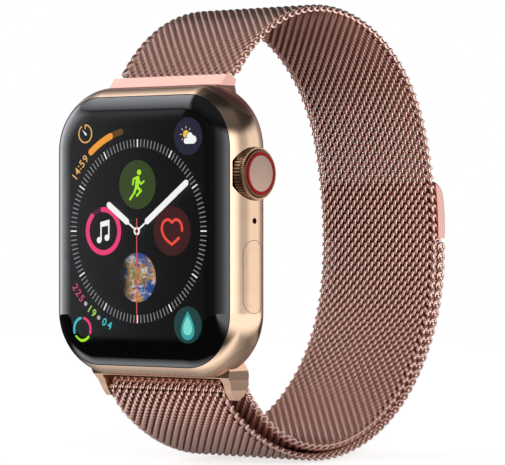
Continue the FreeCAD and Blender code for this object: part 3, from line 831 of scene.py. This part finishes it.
def wire(s0, even):
    """Centre line of one coiled wire across the strap, and its coil axis, in millimetres."""
    turns = TURNS if even else TURNS - 1
    phase = 0.0 if even else pi
    body = np.linspace(-pi * turns, pi * turns, turns * STEPS + 1)
    curl = 1.45 * pi if even else 0.6 * pi
    extra = np.linspace(0, curl, int(curl / (2 * pi) * STEPS * 1.3) + 2)[1:]
    t = np.concatenate([body[0] - extra[::-1], body, body[-1] + extra])
    past = np.clip(np.abs(t) - pi * turns, 0, None)
    slope = PITCH / (2 * pi)
    run = np.clip(np.abs(t), 0, pi * turns) * slope + slope * 0.9 * (1 - np.exp(-past / 0.9))
    run += STEEP * slope / 2 * np.sin(2 * np.abs(t)) * (past == 0)
    run -= 0.10 * (past / curl) ** 2 * (1 if even else 0)
    x = np.sign(t) * run
    shrink = 1 - 0.3 * (past / curl) ** 1.5
    along = HALF_ALONG * np.cos(t + phase) * shrink
    out = -HALF_THICK * np.sin(t + phase) * shrink
    yz = on_path(s0 + along, out)
    line = np.column_stack([x, yz])
    core = np.column_stack([x, on_path(np.full(len(t), s0), 0.0)])
    return line, core


def coil_mesh(name, first, last, numbering):
    """All coiled wires between two lengths along the strap, as one mesh."""
    verts = []
    quads = []
    caps = []
    # dark and dark_caps pick each face's material: 1 is the rod, painted dark as shade in the gaps between
    # the rows
    dark = []
    dark_caps = []
    base = 0
    rows = np.arange(int(np.ceil(first / ROW)), int(np.ceil(last / ROW)))
    for row in rows:
        line, core = wire(row * ROW, (row + numbering) % 2 == 0)
        n = len(line)
        ahead = np.gradient(line, axis=0)
        ahead /= np.linalg.norm(ahead, axis=1)[:, None]
        side = line - core
        side -= (side * ahead).sum(1)[:, None] * ahead
        side /= np.linalg.norm(side, axis=1)[:, None]
        other = np.cross(ahead, side)
        a = 2 * pi * np.arange(SIDES) / SIDES
        ring = line[:, None, :] + WIRE_R * (np.cos(a)[None, :, None] * side[:, None, :]
                                            + np.sin(a)[None, :, None] * other[:, None, :])
        verts.append(ring.reshape(-1, 3))
        i = np.arange(n - 1)[:, None] * SIDES
        k = np.arange(SIDES)[None, :]
        m = (k + 1) % SIDES
        quad = np.stack([i + k, i + m, i + SIDES + m, i + SIDES + k], -1).reshape(-1, 4)
        quads.append(quad + base)
        dark.append(np.zeros(len(quad), int))
        dark_caps += [0, 0, 1, 1]
        caps.append(tuple(base + SIDES - 1 - j for j in range(SIDES)))
        caps.append(tuple(base + (n - 1) * SIDES + j for j in range(SIDES)))
        base += n * SIDES
        half = PITCH * (TURNS - 1) / 2
        yz = on_path(np.array([(row + 0.5) * ROW]), 0.0)[0]
        rim = np.column_stack([np.zeros(SIDES), yz[0] + ROD_R * np.cos(a), yz[1] + ROD_R * np.sin(a)])
        verts.append(np.concatenate([rim - (half, 0, 0), rim + (half, 0, 0)]))
        k1 = np.arange(SIDES)
        quads.append(np.stack([k1, (k1 + 1) % SIDES, SIDES + (k1 + 1) % SIDES, SIDES + k1], -1) + base)
        dark.append(np.ones(SIDES, int))
        caps.append(tuple(base + SIDES - 1 - j for j in range(SIDES)))
        caps.append(tuple(base + SIDES + j for j in range(SIDES)))
        base += 2 * SIDES
    verts = np.concatenate(verts) * MM
    quads = np.concatenate(quads)
    data = bpy.data.meshes.new(name)
    data.vertices.add(len(verts))
    data.vertices.foreach_set("co", verts.astype(np.float32).ravel())
    data.loops.add(len(quads) * 4 + len(caps) * SIDES)
    index = np.concatenate([quads.ravel(), np.array(caps).ravel()])
    data.loops.foreach_set("vertex_index", index.astype(np.int32))
    data.polygons.add(len(quads) + len(caps))
    starts = np.concatenate([np.arange(len(quads)) * 4, len(quads) * 4 + np.arange(len(caps)) * SIDES])
    data.polygons.foreach_set("loop_start", starts.astype(np.int32))
    smooth = np.concatenate([np.ones(len(quads), bool), np.zeros(len(caps), bool)])
    data.polygons.foreach_set("use_smooth", smooth)
    data.polygons.foreach_set("material_index", np.concatenate(dark + [dark_caps]).astype(np.int32))
    data.materials.append(ROSE_WIRE)
    data.materials.append(ROSE_ROD_SHADE)
    data.update(calc_edges=True)
    data.validate()
    obj = bpy.data.objects.new(name, data)
    scene.collection.objects.link(obj)
    return obj


def centre_at(s):
    y, z = on_path(np.array([s]), 0.0)[0]
    return (0.0, y * MM, z * MM)


MID_1 = (JOINT_1 + JOINT_2) / 2
MID_2 = (JOINT_2 + JOINT_3) / 2
BEND = 6.0
CUTS = [0.55, OVER_END, BEHIND_END, JOINT_1 - BEND - 1.0, MID_1, MID_2, PATH_LENGTH - 0.3]
upper_weave = coil_mesh("weave_over", CUTS[0], CUTS[1], 0)
back_weave = coil_mesh("weave_behind", CUTS[1], CUTS[2], 0)
under_weave = coil_mesh("weave_under", CUTS[2], CUTS[3], 0)
for piece in (upper_weave, back_weave, under_weave):
    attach(piece, "band")
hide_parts("mesh_over")
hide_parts("mesh_behind")
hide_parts("mesh_under")

tail_1 = coil_mesh("weave_tail_1", CUTS[3], CUTS[4], 0)
tail_2 = coil_mesh("weave_tail_2", CUTS[4], CUTS[5], 0)
tail_3 = coil_mesh("weave_tail_3", CUTS[5], CUTS[6], 0)
centre_at(JOINT_1 - BEND)
centre_at(JOINT_1 + BEND)
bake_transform(tail_1)
centre_at(JOINT_2 - BEND)
centre_at(JOINT_2 + BEND)
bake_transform(tail_2)
centre_at(JOINT_3 - BEND)
centre_at(JOINT_3 + BEND)
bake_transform(tail_3)
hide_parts("mesh_fold", "tail_mesh_1")
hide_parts("tail_mesh_2")
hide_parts("tail_mesh_3")


# ---- floor, light and camera ------------------------------------------------------------------
FLOOR_HALF = 0.45
FLOOR_DROP = 0.0003      # the floor lies this far under the watch
POOL_STRENGTH = 1.6
BOX_STRENGTH = 2.6
FILL_STRENGTH = 0.03
YAW = radians(40.4)


def ranged(tree, source, out, start, end, ease="LINEAR", low=0.0):
    """Map a value from start to end onto low to 1."""
    node = add(tree, "MapRange", p_interpolation_type=ease)
    node.inputs["From Min"].default_value = start
    node.inputs["From Max"].default_value = end
    node.inputs["To Min"].default_value = low
    link(tree, source, out, node, "Value")
    return node


def build_floor():
    """Floor that the camera sees as pale. All other rays see it dark, with a lit pool."""
    low = min(corner.z for corner in cad_box)
    size = FLOOR_HALF
    z = low - FLOOR_DROP
    verts = [(-size, -size, z), (size, -size, z), (size, size, z), (-size, size, z)]
    mat, tree = new_material("floor_pale")
    where = place(tree, (1, 1, 1))
    tone = tint(tree, where, (0.86, 0.86, 0.86, 1), (0.9, 0.9, 0.9, 1), 4.0)
    matt = add(tree, "BsdfDiffuse", Roughness=0.6)
    tree.links.new(tone.outputs[2], matt.inputs["Color"])
    glow = add(tree, "Emission", Strength=0.7)
    both = add(tree, "AddShader")
    link(tree, matt, 0, both, 0)
    link(tree, glow, 0, both, 1)

    split = add(tree, "SeparateXYZ")
    link(tree, where, "Vector", split, "Vector")
    # the pool, from in front of the watch to behind it, and the lit area to its right
    depth = ranged(tree, split, "Y", -0.03, 0.07)
    pool = level_ramp(tree, depth, ((0.1, 0.0), (0.18, 1.0), (0.24, 0.45), (0.3, 0.25), (0.45, 0.12),
                                    (0.6, 0.2), (0.9, 0.2), (1.0, 0.0)))
    left = ranged(tree, split, "X", -0.075, -0.04, "SMOOTHSTEP")
    right = ranged(tree, split, "X", 0.03, 0.07, "SMOOTHSTEP")
    under = add(tree, "Math", p_operation="MULTIPLY")
    link(tree, pool, 0, under, 0)
    link(tree, left, 0, under, 1)
    level = add(tree, "Math", p_operation="MAXIMUM")
    link(tree, under, 0, level, 0)
    link(tree, right, 0, level, 1)
    power = add(tree, "Math", p_operation="MULTIPLY")
    power.inputs[1].default_value = POOL_STRENGTH
    link(tree, level, 0, power, 0)
    shine = add(tree, "Emission")
    link(tree, power, 0, shine, "Strength")
    dim = add(tree, "BsdfDiffuse")
    dim.inputs["Color"].default_value = (0.07, 0.07, 0.07, 1)
    seen = add(tree, "AddShader")
    link(tree, dim, 0, seen, 0)
    link(tree, shine, 0, seen, 1)
    ray = add(tree, "LightPath")
    pick = add(tree, "MixShader")
    link(tree, ray, "Is Camera Ray", pick, 0)
    link(tree, seen, 0, pick, 1)
    link(tree, both, 0, pick, 2)
    finish_surface(tree, pick)
    floor = make_object("floor", verts, [(0, 1, 2, 3)], mat)


def level_ramp(tree, source, stops):
    """Grey ramp with stops of (place, level)."""
    ramp = add(tree, "ValToRGB")
    elements = ramp.color_ramp.elements
    while len(elements) < len(stops):
        elements.new(0.5)
    for element, (position, level) in zip(elements, stops):
        element.position = position
        element.color = (level, level, level, 1)
    link(tree, source, 0, ramp, "Fac")
    return ramp


def multiply(tree, a, out_a, b, out_b):
    mix = add(tree, "Mix", p_data_type="RGBA", p_blend_type="MULTIPLY")
    mix.inputs[0].default_value = 1.0
    tree.links.new(a.outputs[out_a], mix.inputs[6])
    tree.links.new(b.outputs[out_b], mix.inputs[7])
    return mix


def build_world():
    """Soft boxes by direction, to the sides and above. The camera itself sees plain white."""
    world = bpy.data.worlds.new("studio")
    scene.world = world
    world.use_nodes = True
    tree = world.node_tree
    tree.nodes.clear()
    where = add(tree, "TexCoord")
    split = add(tree, "SeparateXYZ")
    link(tree, where, "Generated", split, "Vector")
    back = add(tree, "Math", p_operation="MULTIPLY")
    back.inputs[1].default_value = -1.0
    link(tree, split, "Y", back, 0)
    turn = add(tree, "Math", p_operation="ARCTAN2")
    link(tree, split, "X", turn, 0)
    link(tree, back, 0, turn, 1)
    shift = add(tree, "Math", p_operation="ADD")
    shift.inputs[1].default_value = radians(100)
    link(tree, turn, 0, shift, 0)
    wrap = add(tree, "Math", p_operation="FLOORED_MODULO")
    wrap.inputs[1].default_value = 2 * pi
    link(tree, shift, 0, wrap, 0)
    share = add(tree, "Math", p_operation="DIVIDE")
    share.inputs[1].default_value = 2 * pi
    link(tree, wrap, 0, share, 0)

    stops = ((-100, 1.0), (-80, 0.75), (-62, 0.5), (-54, 0.3), (-46, 0.17), (-44, 0.14), (-42.4, 0.05),
             (-41, 0.014), (-28, 0.01), (-2, 0.02), (8, 0.1), (24, 0.25), (40, 0.7), (50, 0.85), (60, 0.8),
             (76, 0.42), (84, 0.22), (104, 0.26), (118, 0.45), (150, 0.45), (170, 0.15), (212, 0.12),
             (230, 0.05), (246, 0.25), (260, 1.0))
    around = level_ramp(tree, share, [((angle + 100) / 360, level) for angle, level in stops])
    half = ranged(tree, split, "Z", -1.0, 1.0)
    height = level_ramp(tree, half, ((0.0, 0.0), (0.18, 0.0), (0.34, 1.0), (0.68, 1.0), (0.76, 0.0),
                                     (1.0, 0.0)))
    sides = multiply(tree, around, 0, height, 0)

    # box above, to the left: sharp lower edge, dying away towards the back and the right
    roof = level_ramp(tree, half, ((0.0, 0.0), (0.74, 0.0), (0.75, 0.3), (0.88, 1.0), (0.95, 1.0),
                                   (0.98, 0.0), (1.0, 0.0)))
    leftward = ranged(tree, split, "X", -0.50, -0.60, "SMOOTHSTEP", 0.05)
    behind = ranged(tree, split, "Y", -0.3, 0.8)
    fall = level_ramp(tree, behind, ((0.0, 1.0), (0.27, 1.0), (0.38, 0.6), (0.47, 0.36), (0.62, 0.2),
                                     (0.86, 0.07)))
    above = multiply(tree, multiply(tree, roof, 0, leftward, 0), 2, fall, 0)

    total = add(tree, "Mix", p_data_type="RGBA", p_blend_type="ADD")
    total.inputs[0].default_value = 1.0
    tree.links.new(sides.outputs[2], total.inputs[6])
    tree.links.new(above.outputs[2], total.inputs[7])
    room = add(tree, "Background", Strength=BOX_STRENGTH)
    tree.links.new(total.outputs[2], room.inputs["Color"])
    fill = add(tree, "Background", Color=(1, 1, 1, 1), Strength=FILL_STRENGTH)
    lights = add(tree, "AddShader")
    link(tree, room, 0, lights, 0)
    link(tree, fill, 0, lights, 1)
    pale = add(tree, "Background", Color=(1, 1, 1, 1), Strength=1.0)
    ray = add(tree, "LightPath")
    pick = add(tree, "MixShader")
    link(tree, ray, "Is Camera Ray", pick, 0)
    link(tree, lights, 0, pick, 1)
    link(tree, pale, 0, pick, 2)
    out = add(tree, "OutputWorld")
    link(tree, pick, 0, out, "Surface")


def build_camera():
    data = bpy.data.cameras.new("camera")
    data.lens = 227.2
    data.sensor_width = 36.0
    data.clip_start = 0.01
    data.clip_end = 20.0
    cam = bpy.data.objects.new("camera", data)
    scene.collection.objects.link(cam)
    cam.location = (0.3243, -0.3646, -0.00021)
    cam.rotation_mode = "QUATERNION"
    cam.rotation_quaternion = Vector((-sin(YAW), cos(YAW), 0)).to_track_quat("-Z", "Y")
    scene.camera = cam


build_floor()
build_world()
build_camera()
scene.view_settings.view_transform = "Standard"
